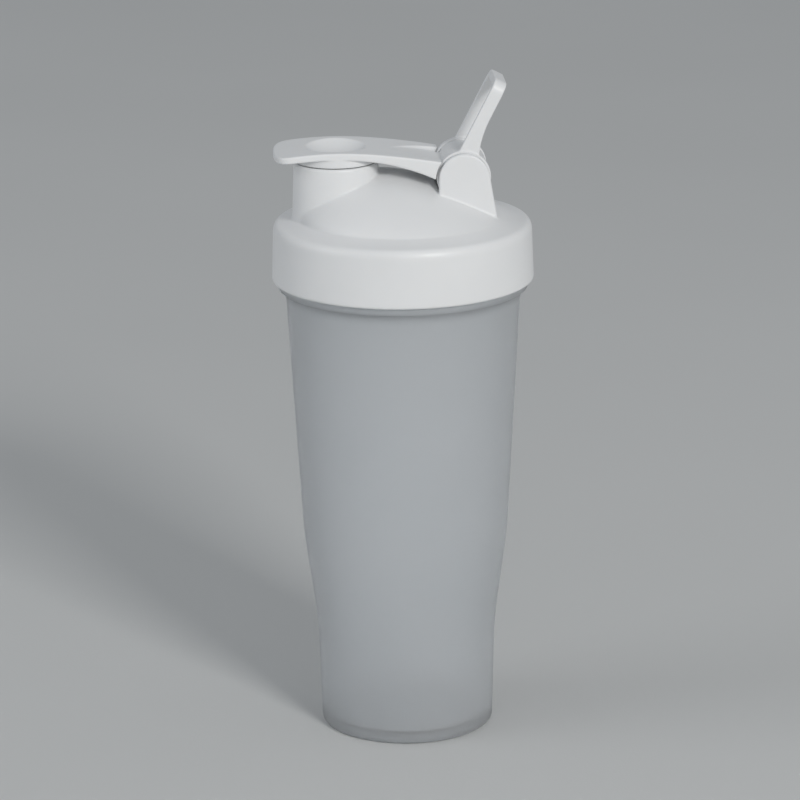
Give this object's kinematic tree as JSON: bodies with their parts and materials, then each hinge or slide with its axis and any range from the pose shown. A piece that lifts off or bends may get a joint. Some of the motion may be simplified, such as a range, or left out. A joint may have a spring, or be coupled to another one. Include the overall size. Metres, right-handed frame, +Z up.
{
  "type": "protein shaker bottle",
  "caption": "Tapered frosted shaker bottle with a screw lid, an off-centre drinking spout under a hinged flip cap, and a carry loop.",
  "frame": {"origin": "centre of the cup's base, on the surface the bottle stands on", "axes": "+Z up along the cup's axis, -X towards the drinking spout, +X towards the cap's hinge, +Y away from a viewer who sees the spout on the left"},
  "size_m": [0.096, 0.096, 0.2464],
  "materials": {
    "frosted_plastic": "frosted translucent polypropylene, fine satin haze",
    "white_plastic": "satin moulded white polypropylene",
    "silicone": "soft translucent silicone"
  },
  "bodies": {
    "cup": {"cup": "frosted_plastic"},
    "seal": {"lid_seal": "silicone"},
    "lid": {"screw_lid": "white_plastic", "mixing_grid": "white_plastic"},
    "cap": {"flip_cap": "white_plastic"},
    "loop": {"carry_loop": "white_plastic"}
  },
  "joints": [
    {"name": "lid_rise", "type": "slide", "parent": "cup", "child": "seal", "axis": [0, 0, 1], "range_m": [0, 0.0075]},
    {"name": "lid_turn", "type": "hinge", "parent": "seal", "child": "lid", "pos_m": [0, 0, 0.18], "axis": [0, 0, 1], "range_deg": [0, 540]},
    {"name": "cap_flip", "type": "hinge", "parent": "lid", "child": "cap", "pos_m": [0.0218, 0, 0.2107], "axis": [0, 1, 0], "range_deg": [0, 100]},
    {"name": "loop_swing", "type": "hinge", "parent": "cap", "child": "loop", "pos_m": [0.0218, 0, 0.2107], "axis": [0, 1, 0], "range_deg": [-40, 0]}
  ],
  "couplings": [
    {"joint": "lid_rise", "follows": "lid_turn", "m_per_rad": 0.00079577}
  ]
}
